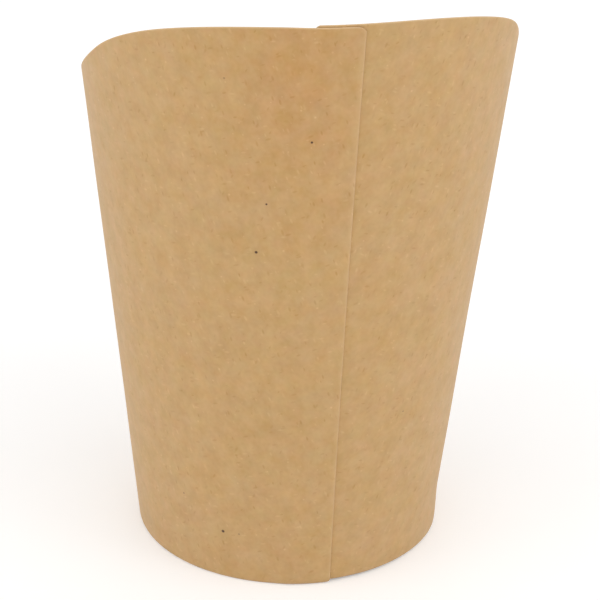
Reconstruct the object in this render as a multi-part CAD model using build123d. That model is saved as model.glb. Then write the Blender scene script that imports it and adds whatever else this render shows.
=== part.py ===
from build123d import *
import os
from math import acos, atan, cos, degrees, radians, sin

# Sizes are in millimetres and degrees. The cup stands on Z = 0, centred on the Z axis, with its seam at -Y.
# Angles round the cup are counted from the seam, positive towards +X.

# Cone of the side wall
base_diameter = 60.0
top_diameter = 86.0
card_thickness = 0.4

# Rim, cut in a curve from the tall side at the seam to the low side opposite
tall_height = 119.5
low_height = 80.0
shoulder_angle = 70.0
shoulder_power = 2.65

# Lapped side seam
lap_at_rim = 10.2
lap_at_foot = 8.0
seam_slip = 0.35
seam_corner_radius = 1.2

# Hem at the foot, and the base that it clamps
hem_height = 7.5
hem_clearance = 1.5
skirt_clearance = 0.3

# How steeply the outer layer climbs on to the inner one, as a share of a tangent's angle, and how many
# layers deep it is rooted in the wall
climb_share = 0.8
root_layers = 0.5

# Spare stock for the rim's cut, and how finely its formula is followed
spare = 5.0
rim_step_angle = 5

taper = (top_diameter - base_diameter) / 2 / tall_height
tilt = atan(taper)
level_thickness = card_thickness / cos(tilt)
blank_height = max(tall_height, low_height) + spare
cutter_reach = abs(taper) * blank_height + spare
fold_radius = card_thickness
fold_floor = card_thickness
base_recess = hem_height + hem_clearance


def wall_radius(height, layers=0.0):
    """Radius of the wall's outside, or of a surface that many layers of card further in."""
    return base_diameter / 2 + taper * height - layers * level_thickness


def around(radius, angle, height):
    """A point at a radius, an angle from the seam and a height."""
    turn = radians(angle)
    return (radius * sin(turn), -radius * cos(turn), height)


def rim_height(angle):
    """Height of the rim: a flat-topped shoulder by the seam that runs smoothly into one long scoop."""
    scoop_angle = 180 - shoulder_angle
    shoulder_part = shoulder_angle / shoulder_power
    shoulder_drop = (tall_height - low_height) * shoulder_part / (shoulder_part + scoop_angle / 2)
    scoop_drop = tall_height - low_height - shoulder_drop
    if angle <= shoulder_angle:
        return tall_height - shoulder_drop * (angle / shoulder_angle) ** shoulder_power
    return low_height + scoop_drop * ((180 - angle) / scoop_angle) ** 2


def rim_curve(offset):
    """The closed rim line, set off square to the card by a distance outwards."""
    angles = list(range(-180, 181, rim_step_angle))
    points = []
    for angle in angles[:-1]:
        height = rim_height(abs(angle))
        radius = wall_radius(height) + offset * cos(tilt)
        points.append(around(radius, angle, height - offset * sin(tilt)))
    return Edge.make_spline(points, periodic=True, parameters=angles)


def rim_cutter():
    """Everything above the rim, with a floor that is square to the card."""
    floor = Face.make_surface_from_curves(rim_curve(-cutter_reach), rim_curve(cutter_reach))
    return extrude(floor, amount=blank_height, dir=(0, 0, 1))


def folded_wall():
    """The cone with its foot folded in and up into a hem, before the rim is cut."""
    profile = make_face(
        Polyline(
            (wall_radius(0, 3), 0),
            (wall_radius(0), 0),
            (wall_radius(blank_height), blank_height),
            (wall_radius(blank_height, 1), blank_height),
            (wall_radius(fold_floor, 1), fold_floor),
            (wall_radius(fold_floor, 2), fold_floor),
            (wall_radius(hem_height, 2), hem_height),
            (wall_radius(hem_height, 3), hem_height),
            close=True,
        )
    )
    inner_corner = profile.vertices().group_by(Axis.Y)[0].sort_by(Axis.X)[0]
    profile = chamfer(inner_corner, fold_radius)
    outer_corner = profile.vertices().group_by(Axis.Y)[0].sort_by(Axis.X)[-1]
    profile = fillet(outer_corner, fold_radius)
    return revolve(Plane.XZ * profile, Axis.Z)


def lap_angles(height):
    """Angles at which the outer layer leaves the wall, the inner layer ends and the outer layer ends."""
    lap = lap_at_foot + (lap_at_rim - lap_at_foot) * height / tall_height
    half = degrees(lap / 2 / wall_radius(height))
    climb = degrees(acos(wall_radius(height, root_layers) / wall_radius(height, -1)))
    return -half - climb_share * climb, -half, half


def lap_section(height):
    """The outer layer where it lies on the inner one, rooted in the wall."""
    leaves, inner_end, outer_end = lap_angles(height)
    root = wall_radius(height, root_layers)
    outside = wall_radius(height, -1)
    return make_face(
        [
            ThreePointArc(
                around(root, leaves, height),
                around(root, (leaves + outer_end) / 2, height),
                around(root, outer_end, height),
            ),
            Line(around(root, outer_end, height), around(outside, outer_end, height)),
            ThreePointArc(
                around(outside, outer_end, height),
                around(outside, 0, height),
                around(outside, inner_end, height),
            ),
            Line(around(outside, inner_end, height), around(root, leaves, height)),
        ]
    )


def groove_section(height):
    """The hollow inside the wall where the sheet climbs past the inner layer's cut end."""
    leaves, inner_end, _ = lap_angles(height)
    root = wall_radius(height, 1 + root_layers)
    outside = wall_radius(height)
    return make_face(
        [
            ThreePointArc(
                around(root, leaves, height),
                around(root, (leaves + inner_end) / 2, height),
                around(root, inner_end, height),
            ),
            Line(around(root, inner_end, height), around(outside, inner_end, height)),
            Line(around(outside, inner_end, height), around(root, leaves, height)),
        ]
    )


def seam_lap(cutter):
    """The outer layer of the seam: its rim a little low, its top corner round and its foot folded under."""
    lap = loft([lap_section(0), lap_section(blank_height)], ruled=True)
    lap -= Pos(0, 0, -seam_slip) * cutter
    top_corner = lap.faces().sort_by(Axis.Z)[-1].edges().sort_by(Axis.X)[-1]
    lap = fillet(top_corner, seam_corner_radius)
    foot_edge = lap.faces().sort_by(Axis.Z)[0].edges().sort_by(Axis.Y)[0]
    return fillet(foot_edge, fold_radius)


def side_wall():
    cutter = rim_cutter()
    groove = loft([groove_section(fold_floor), groove_section(blank_height)], ruled=True)
    return folded_wall() - groove - cutter + seam_lap(cutter)


def base_disc():
    """A round of card with its edge turned down into a skirt that fills the hem's pocket."""
    skirt_foot = fold_floor + skirt_clearance
    top = base_recess + card_thickness
    profile = make_face(
        Polyline(
            (0, base_recess),
            (wall_radius(base_recess, 2), base_recess),
            (wall_radius(skirt_foot, 2), skirt_foot),
            (wall_radius(skirt_foot, 1), skirt_foot),
            (wall_radius(top, 1), top),
            (0, top),
            close=True,
        )
    )
    bend = profile.vertices().group_by(Axis.Y)[-1].sort_by(Axis.X)[-1]
    profile = chamfer(bend, fold_radius)
    return revolve(Plane.XZ * profile, Axis.Z)


os.makedirs("parts", exist_ok=True)
export_step(side_wall(), "parts/side_wall.step")
export_step(base_disc(), "parts/base_disc.step")
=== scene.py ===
import math

import bmesh
import bpy
import numpy as np
from mathutils import Matrix, Vector


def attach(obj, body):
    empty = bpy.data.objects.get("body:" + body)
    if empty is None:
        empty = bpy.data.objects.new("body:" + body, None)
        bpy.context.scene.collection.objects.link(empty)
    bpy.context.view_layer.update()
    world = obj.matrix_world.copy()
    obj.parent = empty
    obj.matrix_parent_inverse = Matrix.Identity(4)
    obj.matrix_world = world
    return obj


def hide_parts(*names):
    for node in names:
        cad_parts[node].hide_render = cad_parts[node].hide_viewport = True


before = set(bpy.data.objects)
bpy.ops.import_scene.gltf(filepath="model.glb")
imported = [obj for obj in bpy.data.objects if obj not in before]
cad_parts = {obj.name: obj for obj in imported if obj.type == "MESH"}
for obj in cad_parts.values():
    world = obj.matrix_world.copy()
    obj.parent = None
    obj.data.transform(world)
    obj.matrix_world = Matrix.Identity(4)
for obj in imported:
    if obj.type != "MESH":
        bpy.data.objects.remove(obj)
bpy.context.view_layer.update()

# Sizes of the card are in millimetres and degrees, as in the solids, and meshes are scaled to metres as they
# are made. Angles round the cup are counted from the seam at -Y, positive towards +X.
MILLIMETRE = 0.001

# Points nearer to each other than this, in metres, are one point
MERGE_DISTANCE = 1e-7

# Cone and rim. The rim is trimmed a little lower than the solids'.
CARD = 0.4
FOOT_RADIUS = 30.0
TOP_RADIUS = 43.0
TALL_HEIGHT = 119.5
LOW_HEIGHT = 80.0
SHOULDER_ANGLE = 70.0
SHOULDER_POWER = 2.65
RIM_TRIM = 0.25

# Shoulders at which the rim stands a little high and flares out: angle, width, lift and flare, and how far
# down the wall the flare dies away
SHOULDERS = ((60.0, 13.0, 0.46, 0.24), (-84.0, 22.0, 0.26, 0.05))
FLARE_DEPTH = 12.0

# Lapped seam: the sheet's outer end lies on its inner end. Its edge bows in a little at mid-height, and the
# inner end's edge leans back towards the rim. The outer end's rim slips lower, over a span of angles.
LAP_AT_RIM = 10.2
LAP_AT_FOOT = 8.0
SEAM_BOW = 0.3
INNER_BACK = 1.2
SEAM_SLIP = 0.35
SLIP_START = 90.0
SLIP_SPAN = 180.0

# The sheet climbs over an angle that ends a little before its inner end's edge, with glue between the layers
GLUE_LAYERS = 0.06
CLIMB_ANGLE = 8.6
CLIMB_LEAD = 1.1
CLIMB_SHARPNESS = 5.0

# Round corners of the sheet's ends: at the rim, and at the foot of the outer end. They are pulled in over a
# short reach of the sheet.
CORNER_HEIGHT = 1.2
INNER_CORNER_WIDTH = 1.2
OUTER_CORNER_WIDTH = 1.8
FOOT_CORNER = 0.9
CORNER_REACH = 6.0

# The outer end stands off a little, most at the rim
PEEL = 0.1
PEEL_REACH = 1.6
PEEL_DEPTH = 14.0
PEEL_BELOW = 0.1

# How many layers of card further in than the cone the middle of the wall lies, and the middle of the skirt,
# round which the foot is folded
WALL_IN = 0.5
SKIRT_IN = 1.5

# Foot: the hem, the fold's squareness, and the step beside the seam
HEM_HEIGHT = 7.5
FOLD_SQUARENESS = 0.72
FOOT_STEP = 0.45
FOOT_STEP_END = 85.0

# Where the cup is out of round: a bulge at the foot, and a flatter stretch of wall above it
UNROUND_ANGLE = 72.0
BULGE = 0.5
BULGE_WIDTH = 24.0
BULGE_HEIGHT = 9.0
FLAT = 0.18
FLAT_WIDTH = 35.0
FLAT_TOP = 75.0
FLAT_BLEND = 40.0

# Base and its skirt
BASE_HEIGHT = 9.0
SKIRT_FOOT = 0.7
BASE_BEND = 0.7
BASE_SAG = 0.25

# Cut edges: how far in from the edge the rounding starts, the share of the card left at the very edge, how
# far in the pale cut shows, in roundings, and how pale the seam's is. The seam's edge is pressed down wider.
EDGE_ROUND = 0.13
SEAM_EDGE_ROUND = 0.4
EDGE_LEFT = 0.4
EDGE_FADE = 1.1
SEAM_PALE = 0.26

# Shallow waves in the rolled card. They come in over some millimetres above the hem, and over some degrees
# beyond the lap.
WAVE_HEIGHT = 0.035
WAVE_COUNT = 7
WAVE_LENGTHS = (18.0, 45.0)
WAVE_SPREAD = 0.6
WAVE_SEED = 7
WAVE_FADE = 20.0
WAVE_LAP = 16.0
WAVE_LAP_FADE = 20.0

# Where rows and columns of points lie: by roundings from a cut edge, and in runs of (start, end, step), in
# degrees round the cup, and in millimetres up the wall, down from the rim, down the hem and the skirt
EDGE_STATIONS = np.array([0.0, 0.2, 0.55, 1.0, 2.2])
ROUND_RUNS = ((1.2, 30.0, 0.6), (30.0, 330.0, 1.25), (330.0, 371.0, 0.45))
WALL_RUNS = ((0.8, 12.8, 0.8), (12.8, TALL_HEIGHT - 4.0, 2.0))
RIM_RUNS = ((0.45, 1.5, 0.15), (1.5, 4.0, 0.5))
HEM_START = 1.2
HEM_STEP = 1.4
FOLD_ROWS = 15
PLATE_STEP = 1.2
BEND_ROWS = 9
SKIRT_STEP = 0.8
BASE_COLUMNS = 240

# Far apart on the flat card, so that no two faces share a pattern
FACE_SPACING = 400.0

TAPER = (TOP_RADIUS - FOOT_RADIUS) / TALL_HEIGHT
TILT = math.atan(TAPER)
LEVEL_CARD = CARD / math.cos(TILT)
APEX_DISTANCE = FOOT_RADIUS / math.sin(TILT)
DEGREES_AT_FOOT = math.degrees(1 / FOOT_RADIUS)


def smooth(share):
    """Smooth step from 0 to 1."""
    share = np.clip(share, 0.0, 1.0)
    return share * share * (3 - 2 * share)


def bell(distance, width):
    return np.exp(-((distance / width) ** 2))


def from_seam(angle):
    """The same angle, between half a turn before the seam and half a turn after it."""
    return (angle + 180) % 360 - 180


def wall_radius(height):
    return FOOT_RADIUS + TAPER * height


def rim_height(angle):
    """Height of the rim: a flat-topped shoulder by the seam that runs smoothly into one long scoop."""
    away = np.abs(from_seam(angle))
    scoop_angle = 180 - SHOULDER_ANGLE
    shoulder_part = SHOULDER_ANGLE / SHOULDER_POWER
    drop = TALL_HEIGHT - LOW_HEIGHT
    shoulder_drop = drop * shoulder_part / (shoulder_part + scoop_angle / 2)
    along_shoulder = np.minimum(away / SHOULDER_ANGLE, 1)
    shoulder = TALL_HEIGHT - shoulder_drop * along_shoulder**SHOULDER_POWER
    scoop = LOW_HEIGHT + (drop - shoulder_drop) * ((180 - away) / scoop_angle) ** 2
    lift = sum(high * bell(from_seam(angle) - place, width) for place, width, high, _ in SHOULDERS)
    return np.where(away <= SHOULDER_ANGLE, shoulder, scoop) + lift - RIM_TRIM


def lap_ends(height):
    """Angles from the seam's middle to the inner end's edge and to the outer end's edge."""
    share = np.clip(height / TALL_HEIGHT, 0, 1)
    half = (LAP_AT_FOOT + (LAP_AT_RIM - LAP_AT_FOOT) * share) / 2
    inner = half - INNER_BACK * share
    outer = half - SEAM_BOW * 4 * share * (1 - share)
    return np.degrees(inner / wall_radius(height)), np.degrees(outer / wall_radius(height))


def layers_out(angle, inner):
    """How many layers further out the sheet lies: none, climbing to one just before its own inner end."""
    start = 360 - inner - CLIMB_LEAD - CLIMB_ANGLE
    rise = np.clip((angle - start) / CLIMB_ANGLE, 0, None) ** 2
    return (1 + GLUE_LAYERS) * rise / (1 + rise**CLIMB_SHARPNESS) ** (1 / CLIMB_SHARPNESS)


def foot_lift(angle):
    """How far the fold is raised beside the seam, where the outer layer's fold passes under it."""
    outer = lap_ends(0.0)[1]
    return FOOT_STEP * smooth((FOOT_STEP_END - angle) / (FOOT_STEP_END - outer))


def out_of_round(angle, height):
    """How far the wall stands out from the cone."""
    away = angle - UNROUND_ANGLE
    bulge = BULGE * bell(away, BULGE_WIDTH) * smooth(1 - height / BULGE_HEIGHT)
    return bulge - FLAT * bell(away, FLAT_WIDTH) * smooth((FLAT_TOP - height) / FLAT_BLEND)


def flat_place(angle, run):
    """Place on the flat card, a fan about the cone's apex, of an angle and a run up from the foot."""
    reach = APEX_DISTANCE + run
    fan_angle = np.radians(angle - 180) * math.sin(TILT)
    return reach * np.sin(fan_angle), reach * np.cos(fan_angle) - APEX_DISTANCE


def card_waves(along, up):
    """Shallow, irregular waves over the flat card."""
    rng = np.random.default_rng(WAVE_SEED)
    waves = np.zeros_like(along)
    for _ in range(WAVE_COUNT):
        length = rng.uniform(*WAVE_LENGTHS)
        heading = rng.uniform(-WAVE_SPREAD, WAVE_SPREAD)
        phase = rng.uniform(0, 2 * math.pi)
        distance = along * math.cos(heading) + up * math.sin(heading)
        waves += np.sin(2 * math.pi * distance / length + phase)
    return WAVE_HEIGHT * waves / math.sqrt(WAVE_COUNT / 2)


def edge_share(rounds):
    """Share of the card's thickness left at a distance from a cut edge, counted in roundings."""
    inset = 1 - np.minimum(rounds, 1.0)
    return EDGE_LEFT + (1 - EDGE_LEFT) * np.sqrt(1 - inset**2)


def stations(*runs):
    """Places along a line, from runs of (start, end, step) that follow each other."""
    places = [np.arange(start, end - step / 2, step) for start, end, step in runs]
    return np.concatenate(places + [[runs[-1][1]]])


def card_piece(name, middle, flat, rounds, worn, closed, material):
    """A piece of card from its middle surface, in rows by columns.

    The middle is given by angle, radius, height and the way out of the card, beside the place on the flat
    card, the distance from a cut edge and how pale it is. Both faces are set off from the middle, thinner
    towards cut edges, and joined round the card's edge.
    """
    angle, radius, height, way_out, way_up = middle
    along, up = flat
    sine, cosine = np.sin(np.radians(angle)), np.cos(np.radians(angle))
    half_card = CARD / 2 * edge_share(rounds)
    points, places = [], []
    for side, shift in ((1, 0.0), (-1, FACE_SPACING)):
        face_radius = np.maximum(radius + side * half_card * way_out, 0)
        face_height = height + side * half_card * way_up
        points.append(np.stack([face_radius * sine, -face_radius * cosine, face_height], -1).reshape(-1, 3))
        places.append(np.stack([along + shift, up, 0 * up], -1).reshape(-1, 3))
    row_count, column_count = radius.shape
    index = np.arange(2 * row_count * column_count).reshape(2, row_count, column_count)
    loop = np.concatenate([index[0], index[1][::-1]])
    following = np.roll(loop, -1, axis=0)
    if closed:
        loop, following = loop[:-1], following[:-1]
        here = np.arange(column_count)
        there = np.roll(here, -1)
    else:
        here = np.arange(column_count - 1)
        there = here + 1
    corners = [loop[:, here], loop[:, there], following[:, there], following[:, here]]
    quads = [np.stack(corners, -1).reshape(-1, 4)]
    if not closed:
        for column in (0, column_count - 1):
            front, behind = index[0, :, column], index[1, :, column]
            quads.append(np.stack([front[:-1], front[1:], behind[1:], behind[:-1]], -1))
    mesh = bpy.data.meshes.new(name)
    mesh.from_pydata((np.concatenate(points) * MILLIMETRE).tolist(), [], np.concatenate(quads).tolist())
    values = {
        "flat": ("FLOAT_VECTOR", "vector", np.concatenate(places)),
        "edge": ("FLOAT", "value", np.concatenate([worn.ravel(), worn.ravel()])),
    }
    for attribute, (kind, field, numbers) in values.items():
        layer = mesh.attributes.new(attribute, kind, "POINT")
        layer.data.foreach_set(field, np.ascontiguousarray(numbers, np.float32).ravel())
    shape = bmesh.new()
    shape.from_mesh(mesh)
    bmesh.ops.remove_doubles(shape, verts=shape.verts, dist=MERGE_DISTANCE)
    bmesh.ops.recalc_face_normals(shape, faces=shape.faces)
    shape.to_mesh(mesh)
    shape.free()
    mesh.shade_smooth()
    mesh.materials.append(material)
    piece = bpy.data.objects.new(name, mesh)
    bpy.context.scene.collection.objects.link(piece)
    return piece


def side_wall(material):
    """The sheet, rolled from its inner end round to its outer end, with its foot folded in and up."""
    length = 360 + sum(lap_ends(TALL_HEIGHT / 2))
    inner_stations = EDGE_STATIONS * EDGE_ROUND * DEGREES_AT_FOOT
    outer_stations = EDGE_STATIONS * SEAM_EDGE_ROUND * DEGREES_AT_FOOT
    columns = np.concatenate([inner_stations, stations(*ROUND_RUNS), length - outer_stations[::-1]])
    share = (columns / length)[None, :]
    inner, outer = lap_ends(0.0)
    foot_angle = -inner + share * (360 + inner + outer)
    foot_layers = layers_out(foot_angle, inner)
    centre = (SKIRT_IN + foot_layers) * CARD + foot_lift(foot_angle)
    spread = 1 + foot_layers

    # Hem, from its cut edge down to the fold
    hem_length = HEM_HEIGHT - SKIRT_IN * CARD
    hem_runs = (HEM_START, hem_length - HEM_STEP, HEM_STEP)
    hem = np.concatenate([EDGE_STATIONS * EDGE_ROUND, stations(hem_runs)])[:, None] / hem_length
    hem_height = HEM_HEIGHT + (centre - HEM_HEIGHT) * hem
    hem_in = SKIRT_IN + spread + 0 * hem_height

    # Fold, squarer than a circle
    bend = np.linspace(0, math.pi, FOLD_ROWS)[:, None]
    cosine, sine = np.cos(bend), np.sin(bend)
    fold_in = SKIRT_IN + spread * np.sign(cosine) * np.abs(cosine) ** FOLD_SQUARENESS
    fold_height = centre - spread * CARD * np.abs(sine) ** FOLD_SQUARENESS
    fold_out = -np.sign(cosine) * np.abs(cosine) ** (2 - FOLD_SQUARENESS)
    fold_up = -(np.abs(sine) ** (2 - FOLD_SQUARENESS))
    fold_size = np.hypot(fold_out, fold_up)

    # Its outer end is cut off round towards the floor
    at_end = np.clip(1 - (1 - share) * length / DEGREES_AT_FOOT / CORNER_REACH, 0, 1) ** 2
    above = np.clip(fold_height / FOOT_CORNER, 0, 1)
    cut_off = (1 - np.sqrt(1 - (1 - above) ** 2)) * FOOT_CORNER * DEGREES_AT_FOOT
    fold_angle = foot_angle - cut_off * at_end

    # Wall, from the fold up to the rim's cut edge, closer together at the foot and the rim
    from_rim = np.concatenate([EDGE_STATIONS * EDGE_ROUND, stations(*RIM_RUNS)])
    wall = np.concatenate([stations(*WALL_RUNS)[:-1], TALL_HEIGHT - from_rim[::-1]])[:, None] / TALL_HEIGHT
    inner, outer = lap_ends(TALL_HEIGHT)
    rim_angle = -inner + share * (360 + inner + outer)
    rim = rim_height(rim_angle) - SEAM_SLIP * smooth((rim_angle - SLIP_START) / SLIP_SPAN)
    wall_height = centre + (rim - centre) * wall
    inner, outer = lap_ends(wall_height)
    wall_angle = -inner + share * (360 + inner + outer)
    degrees_each = np.degrees(1 / wall_radius(wall_height))
    from_inner = (wall_angle + inner) / degrees_each
    from_outer = (360 + outer - wall_angle) / degrees_each

    # Round corners where the rim meets the sheet's ends
    below = np.clip((rim - wall_height) / CORNER_HEIGHT, 0, 1)
    corner = (1 - np.sqrt(1 - (1 - below) ** 2)) * degrees_each
    inner_pull = INNER_CORNER_WIDTH * np.clip(1 - from_inner / CORNER_REACH, 0, 1) ** 2
    outer_pull = OUTER_CORNER_WIDTH * np.clip(1 - from_outer / CORNER_REACH, 0, 1) ** 2
    wall_angle = wall_angle + corner * (inner_pull - outer_pull)
    peel_share = PEEL_BELOW + np.exp(-(rim - wall_height) / PEEL_DEPTH)
    peel = PEEL * np.exp(-from_outer / PEEL_REACH) * peel_share
    wall_in = WALL_IN - layers_out(wall_angle, inner)
    flare = sum(wide * bell(from_seam(wall_angle) - place, width) for place, width, _, wide in SHOULDERS)
    flare = flare * np.exp(-(rim - wall_height) / FLARE_DEPTH)

    # The whole sheet
    inwards = np.concatenate([hem_in, fold_in, wall_in])
    height = np.concatenate([hem_height, fold_height, wall_height])
    angle = np.concatenate([foot_angle + 0 * hem_height, fold_angle, wall_angle])
    fold_out = fold_out / fold_size + 0 * fold_height
    fold_up = fold_up / fold_size + 0 * fold_height
    way_out = np.concatenate([0 * hem_height - 1, fold_out, 0 * wall_height + 1])
    way_up = np.concatenate([0 * hem_height, fold_up, 0 * wall_height])
    hem_run = HEM_HEIGHT - hem_height
    to_foot = hem_length + CARD * math.pi
    fold_run = HEM_HEIGHT - centre + (to_foot - HEM_HEIGHT + 2 * centre) * bend / math.pi
    run = np.concatenate([hem_run, fold_run, to_foot + wall_height])
    along, up = flat_place(angle, (run - to_foot) / math.cos(TILT))
    radius = wall_radius(height) - inwards * LEVEL_CARD + out_of_round(angle, height)
    from_lap = np.minimum(columns, length - columns) - WAVE_LAP
    wave_share = smooth((height - HEM_HEIGHT) / WAVE_FADE) * smooth(from_lap / WAVE_LAP_FADE)
    radius = radius + card_waves(along, up) * wave_share

    # Distances from the cut edges. The outer end thins from its outside only, pressed down on the inner end.
    to_inner = columns / DEGREES_AT_FOOT / EDGE_ROUND
    to_outer = (length - columns) / DEGREES_AT_FOOT / SEAM_EDGE_ROUND
    pressed = CARD / 2 * (1 - edge_share(to_outer)) * smooth(wall_height / HEM_HEIGHT)
    radius[-len(wall) :] += peel + flare - pressed
    end_rounds = np.minimum(to_inner, to_outer) + 0 * run
    run_rounds = np.minimum(run, run[-1] - run) / EDGE_ROUND
    worn = np.maximum(bell(run_rounds, EDGE_FADE), SEAM_PALE * bell(end_rounds, EDGE_FADE))
    middle = (angle, radius, height, way_out, way_up)
    rounds = np.minimum(run_rounds, end_rounds)
    return card_piece("side_wall_card", middle, (along, up), rounds, worn, False, material)


def base_disc(material):
    """A round of card with its edge turned down into a skirt that stands in the hem's pocket."""
    plate_height = BASE_HEIGHT + CARD / 2
    bend_height = plate_height - BASE_BEND
    skirt_length = bend_height - SKIRT_FOOT
    outer = wall_radius(bend_height) - SKIRT_IN * LEVEL_CARD
    plate = stations((0.0, outer - BASE_BEND, PLATE_STEP))[:-1]
    bend = np.linspace(math.pi / 2, 0, BEND_ROWS)
    above_edge = stations((SKIRT_STEP, skirt_length - SKIRT_STEP, SKIRT_STEP))
    skirt = SKIRT_FOOT + np.concatenate([EDGE_STATIONS * EDGE_ROUND, above_edge])[::-1]
    skirt_radius = wall_radius(skirt) - SKIRT_IN * LEVEL_CARD
    radius = np.concatenate([plate, outer - BASE_BEND + BASE_BEND * np.cos(bend), skirt_radius])
    sag = BASE_SAG * (1 - (plate / plate[-1]) ** 2)
    height = np.concatenate([plate_height - sag, bend_height + BASE_BEND * np.sin(bend), skirt])
    way_out = np.concatenate([0 * plate, np.cos(bend), 0 * skirt + 1])
    way_up = np.concatenate([0 * plate + 1, np.sin(bend), 0 * skirt])
    run = np.concatenate([[0], np.cumsum(np.hypot(np.diff(radius), np.diff(height)))])
    angle = np.linspace(0, 360, BASE_COLUMNS, endpoint=False)[None, :] + 0 * run[:, None]
    along = 2 * FACE_SPACING + run[:, None] * np.sin(np.radians(angle))
    up = run[:, None] * np.cos(np.radians(angle))
    middle = [angle] + [part[:, None] + 0 * angle for part in (radius, height, way_out, way_up)]
    rounds = (run[-1] - run)[:, None] / EDGE_ROUND + 0 * angle
    worn = bell(rounds, EDGE_FADE)
    return card_piece("base_disc_card", middle, (along, up), rounds, worn, True, material)


# Kraft card: its mean colour, its cut edge, and the steps in which mottling and flecks change it: about one
# display level lighter, hazier, redder or bluer
KRAFT = Vector((0.541, 0.325, 0.123))
CUT_EDGE = (0.66, 0.45, 0.23, 1)
LIGHTER = Vector((0.0057, 0.00495, 0.0037))
HAZIER = Vector((0.0027, 0.0026, 0.0021))
REDDER = Vector((0.0064, 0, 0))
BLUER = Vector((0, 0, 0.0031))

# Mottling: size in millimetres, stretch, heading in degrees, octaves, strength in steps, and the step
MOTTLES = (
    (0.5, 1.0, 0.0, 1.0, 1.5, LIGHTER),
    (1.3, 1.2, 88.0, 1.0, 11.5, LIGHTER),
    (3.0, 1.2, 80.0, 0.0, 9.5, LIGHTER),
    (6.0, 1.0, 10.0, 0.0, 6.0, HAZIER),
    (13.0, 1.0, 40.0, 0.0, 4.0, HAZIER),
    (2.8, 1.0, 0.0, 1.0, 8.0, REDDER),
    (2.8, 1.0, 30.0, 1.0, 8.5, BLUER),
    (9.0, 1.0, 60.0, 1.0, 5.5, REDDER),
    (9.0, 1.0, 90.0, 1.0, 8.5, BLUER),
)
MOTTLE_ROUGHNESS = 0.8

# Fibres and flecks: spacing in millimetres, stretch, heading, share of places that hold one, radius in
# spacings and strength in steps, dark where negative
FLECKS = (
    (1.6, 2.6, 88.0, 0.46, 0.18, -12.0),
    (1.6, 2.4, 4.0, 0.42, 0.18, -9.5),
    (1.7, 2.4, 48.0, 0.24, 0.18, -9.0),
    (1.6, 2.6, 96.0, 0.42, 0.18, 9.5),
    (1.6, 2.4, -8.0, 0.36, 0.18, 9.0),
    (2.2, 1.0, 0.0, 0.26, 0.12, 15.0),
)
FLECK_SOFTNESS = 1.8

# A broad, soft patch by the seam below the rim, where the colour is darker and warmer: its angle and height,
# its reach along and up the card, and how it changes the colour
WARM_PATCH_ANGLE = 351.0
WARM_PATCH_HEIGHT = 110.0
WARM_PATCH_REACH = (10.2, 24.0)
WARM_PATCH_CHANGE = Vector((-0.010, -0.032, -0.022))

# How far apart the patterns are taken from each other, in millimetres
PATTERN_SHIFT = (17.3, 5.7)

# The finer patterns stand up from the card a little
RELIEF_LIMIT = 1.5
RELIEF_SHARE = 0.2
RELIEF_STRENGTH = 0.15
RELIEF_DEPTH = 0.00002

# Matt card with a soft sheen from its loose fibres
ROUGHNESS = 0.6
SPECULAR = 0.1
SHEEN = 0.18
SHEEN_ROUGHNESS = 0.8

# Dark specks in the card that show on the outside: angle, height, radius and strength
SPECKS = (
    (341.02, 74.31, 0.27, 1.0),
    (327.90, 10.92, 0.30, 1.0),
    (354.99, 97.08, 0.22, 1.0),
    (343.81, 84.30, 0.19, 0.95),
    (333.47, 108.30, 0.20, 0.4),
    (312.08, 16.98, 0.18, 0.5),
    (30.66, 36.59, 0.18, 0.4),
    (333.99, 11.01, 0.18, 0.45),
)
SPECK_SOFTNESS = 0.35
SPECK_BROWN = (0.075, 0.022, 0.0, 1)


def add(tree, kind, inputs=(), **settings):
    """A node with its settings made and its inputs set or joined."""
    node = tree.nodes.new("ShaderNode" + kind)
    for name, value in settings.items():
        setattr(node, name, value)
    for name, value in dict(inputs).items():
        if isinstance(value, bpy.types.NodeSocket):
            tree.links.new(value, node.inputs[name])
        else:
            node.inputs[name].default_value = value
    return node


def calc(tree, operation, *values):
    return add(tree, "Math", enumerate(values), operation=operation).outputs[0]


def laid(tree, place, number, size, stretch, heading):
    """Place on the flat card in units of a pattern's size, turned to its heading and stretched along it."""
    inputs = {
        "Vector": place,
        "Location": (PATTERN_SHIFT[0] * number, PATTERN_SHIFT[1] * number, 0),
        "Rotation": (0, 0, math.radians(heading)),
        "Scale": (size * stretch, size, size),
    }
    return add(tree, "Mapping", inputs, vector_type="TEXTURE").outputs[0]


def mottle(tree, place, octaves):
    """Noise about zero."""
    inputs = {"Vector": place, "Scale": 1.0, "Detail": octaves, "Roughness": MOTTLE_ROUGHNESS}
    noise = add(tree, "TexNoise", inputs, noise_dimensions="2D")
    return calc(tree, "SUBTRACT", noise.outputs["Fac"], 0.5)


def flecks(tree, place, share, radius):
    """Soft spots in a share of the cells, of mixed sizes and strengths."""
    cells = add(tree, "TexVoronoi", {"Vector": place, "Scale": 1.0}, voronoi_dimensions="2D")
    pick = add(tree, "SeparateColor", {"Color": cells.outputs["Color"]})
    size = calc(tree, "MULTIPLY_ADD", pick.outputs[1], radius / 2, radius / 2)
    inside = calc(tree, "SUBTRACT", 1.0, calc(tree, "DIVIDE", cells.outputs["Distance"], size))
    soft = add(tree, "Clamp", {"Value": calc(tree, "MULTIPLY", inside, FLECK_SOFTNESS)}).outputs[0]
    shown = calc(tree, "LESS_THAN", pick.outputs[0], share)
    return calc(tree, "MULTIPLY", calc(tree, "MULTIPLY", soft, shown), pick.outputs[2])


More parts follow.
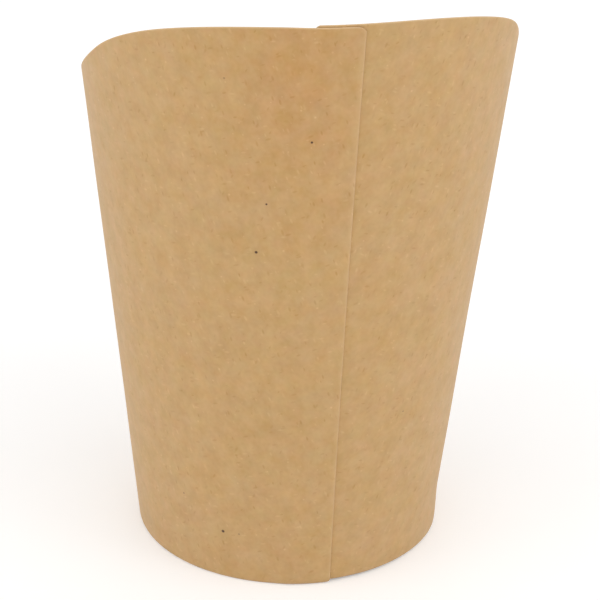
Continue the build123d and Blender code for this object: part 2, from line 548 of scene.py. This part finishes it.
def warm_patch(tree, place):
    """A soft patch that stands upright on the rolled card, 1 at its middle."""
    along, up = flat_place(WARM_PATCH_ANGLE, WARM_PATCH_HEIGHT / math.cos(TILT))
    inputs = {
        "Vector": place,
        "Location": (along, up, 0),
        "Rotation": (0, 0, -math.atan2(along, up + APEX_DISTANCE)),
        "Scale": (*WARM_PATCH_REACH, 1),
    }
    away = add(tree, "Mapping", inputs, vector_type="TEXTURE").outputs[0]
    square = add(tree, "VectorMath", {0: away, 1: away}, operation="DOT_PRODUCT").outputs["Value"]
    return calc(tree, "EXPONENT", calc(tree, "MULTIPLY", square, -1.0))


def speck(tree, place, angle, height, radius, strength):
    """One round, soft-edged speck."""
    along, up = flat_place(angle, height / math.cos(TILT))
    away = add(tree, "VectorMath", {0: place, 1: (along, up, 0)}, operation="DISTANCE").outputs["Value"]
    inputs = {
        "Value": away,
        "From Min": radius * (1 - SPECK_SOFTNESS),
        "From Max": radius * (1 + SPECK_SOFTNESS),
        "To Min": strength,
        "To Max": 0.0,
    }
    return add(tree, "MapRange", inputs, interpolation_type="SMOOTHSTEP").outputs[0]


def blend(tree, share, below, above):
    node = add(tree, "MixRGB", {"Fac": share, "Color1": below, "Color2": above})
    return node.outputs[0]


def kraft(name, specks=()):
    """Uncoated kraft card: mottled, with fibres, flecks, a darker and warmer patch by the seam, specks and
    pale cut edges.
    """
    material = bpy.data.materials.new(name)
    material.use_nodes = True
    tree = material.node_tree
    shader = tree.nodes["Principled BSDF"]
    place = add(tree, "Attribute", attribute_name="flat").outputs["Vector"]
    worn = add(tree, "Attribute", attribute_name="edge").outputs["Fac"]
    patterns = []
    for number, (size, stretch, heading, octaves, strength, step) in enumerate(MOTTLES):
        noise = mottle(tree, laid(tree, place, number, size, stretch, heading), octaves)
        patterns.append((noise, strength, step, size))
    for number, (size, stretch, heading, share, radius, strength) in enumerate(FLECKS, len(MOTTLES)):
        spots = flecks(tree, laid(tree, place, number, size, stretch, heading), share, radius)
        patterns.append((spots, strength, LIGHTER, size))
    # The broad patch by the seam below the rim, darker and warmer in colour
    patterns.append((warm_patch(tree, place), 1.0, WARM_PATCH_CHANGE, max(WARM_PATCH_REACH)))
    colour, relief = KRAFT, 0.0
    for pattern, strength, step, size in patterns:
        parts = {0: pattern, 1: strength * step, 2: colour}
        colour = add(tree, "VectorMath", parts, operation="MULTIPLY_ADD").outputs[0]
        if size <= RELIEF_LIMIT:
            relief = calc(tree, "MULTIPLY_ADD", pattern, strength * RELIEF_SHARE, relief)
    for angle, height, radius, strength in specks:
        shown = speck(tree, place, angle, height, radius, strength)
        colour = blend(tree, shown, colour, SPECK_BROWN)
    colour = blend(tree, worn, colour, CUT_EDGE)
    tree.links.new(colour, shader.inputs["Base Color"])
    shader.inputs["Roughness"].default_value = ROUGHNESS
    shader.inputs["Specular IOR Level"].default_value = SPECULAR
    shader.inputs["Sheen Weight"].default_value = SHEEN
    shader.inputs["Sheen Roughness"].default_value = SHEEN_ROUGHNESS
    bump = add(tree, "Bump", {"Strength": RELIEF_STRENGTH, "Distance": RELIEF_DEPTH, "Height": relief})
    tree.links.new(bump.outputs[0], shader.inputs["Normal"])
    return material


wall = side_wall(kraft("kraft_wall", SPECKS))
base = base_disc(kraft("kraft_base"))
for piece, node in ((wall, "side_wall"), (base, "base_disc")):
    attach(piece, "root")
    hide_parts(node)

# Floor
FLOOR_SIZE = 4.0
FLOOR_GREY = 0.85
FLOOR_GLOW = 0.24


def floor_material():
    """A matt floor that is seen a little lighter than the light that it throws on the cup."""
    material = bpy.data.materials.new("floor_white")
    material.use_nodes = True
    tree = material.node_tree
    shader = tree.nodes["Principled BSDF"]
    shader.inputs["Base Color"].default_value = (FLOOR_GREY, FLOOR_GREY, FLOOR_GREY, 1)
    shader.inputs["Roughness"].default_value = 1.0
    shader.inputs["Specular IOR Level"].default_value = 0.0
    shader.inputs["Emission Color"].default_value = (1, 1, 1, 1)
    path = add(tree, "LightPath")
    seen = path.outputs["Is Camera Ray"]
    for kind in ("Is Glossy Ray", "Is Transmission Ray"):
        seen = calc(tree, "MAXIMUM", seen, path.outputs[kind])
    tree.links.new(calc(tree, "MULTIPLY", seen, FLOOR_GLOW), shader.inputs["Emission Strength"])
    return material


reach = FLOOR_SIZE / 2
corners = [(-reach, -reach, 0), (reach, -reach, 0), (reach, reach, 0), (-reach, reach, 0)]
floor_mesh = bpy.data.meshes.new("floor")
floor_mesh.from_pydata(corners, [], [(0, 1, 2, 3)])
floor_mesh.materials.append(floor_material())
floor = bpy.data.objects.new("floor", floor_mesh)
bpy.context.scene.collection.objects.link(floor)

# Camera, placed by a fit of the cup's outline: metres, degrees, and the focal length in picture widths
CAMERA_DISTANCE = 0.5
CAMERA_ELEVATION = 25.5316
CAMERA_ROLL = 1.3982
CAMERA_TURN = 9.488
AIM_ASIDE = 0.001792
AIM_HEIGHT = 0.0470908
FOCAL_WIDTHS = 4.2205
SENSOR = 36.0
CLIP_START = 0.01
elevation = math.radians(CAMERA_ELEVATION)
roll = math.radians(CAMERA_ROLL)
camera_turn = Matrix.Rotation(-math.radians(CAMERA_TURN), 3, "Z")
forward = camera_turn @ Vector((0, math.cos(elevation), -math.sin(elevation)))
level = camera_turn @ Vector((1, 0, 0))
upward = level.cross(forward)
right = math.cos(roll) * level + math.sin(roll) * upward
top = -math.sin(roll) * level + math.cos(roll) * upward
aim = camera_turn @ Vector((AIM_ASIDE, 0, AIM_HEIGHT))
lens = bpy.data.cameras.new("camera")
lens.sensor_width = SENSOR
lens.lens = FOCAL_WIDTHS * SENSOR
lens.clip_start = CLIP_START
camera = bpy.data.objects.new("camera", lens)
pose = Matrix((right, top, -forward)).transposed().to_4x4()
pose.translation = aim - CAMERA_DISTANCE * forward
camera.matrix_world = pose
bpy.context.scene.collection.objects.link(camera)
bpy.context.scene.camera = camera

# Light: an even studio, and square softboxes by azimuth from the camera, elevation and brightness
STUDIO_LIGHT = 0.54
SOFTBOX_SIZE = 1.2
SOFTBOX_DISTANCE = 1.2
SOFTBOX_AIM = Vector((0, 0, 0.06))
SOFTBOXES = {
    "left": (-80, 19, 0.81),
    "right": (80, 25, 0.88),
    "front_left": (-40, 35, 0.78),
    "front_right": (40, 35, 0.76),
    "back_left": (-155, 32, 0.4),
    "back_right": (155, 32, 0.4),
}
world = bpy.data.worlds.new("studio")
world.use_nodes = True
sky = world.node_tree.nodes["Background"]
sky.inputs["Color"].default_value = (1, 1, 1, 1)
sky.inputs["Strength"].default_value = STUDIO_LIGHT
bpy.context.scene.world = world
for name, (azimuth, rise, brightness) in SOFTBOXES.items():
    data = bpy.data.lights.new("softbox_" + name, "AREA")
    data.shape = "SQUARE"
    data.size = SOFTBOX_SIZE
    data.energy = brightness * math.pi * SOFTBOX_SIZE**2
    around, lift = math.radians(azimuth), math.radians(rise)
    way = Vector((math.sin(around) * math.cos(lift), -math.cos(around) * math.cos(lift), math.sin(lift)))
    way = camera_turn @ way
    lamp = bpy.data.objects.new(data.name, data)
    lamp.location = SOFTBOX_AIM + SOFTBOX_DISTANCE * way
    lamp.rotation_euler = way.to_track_quat("Z", "Y").to_euler()
    bpy.context.scene.collection.objects.link(lamp)

bpy.context.scene.view_settings.view_transform = "Standard"
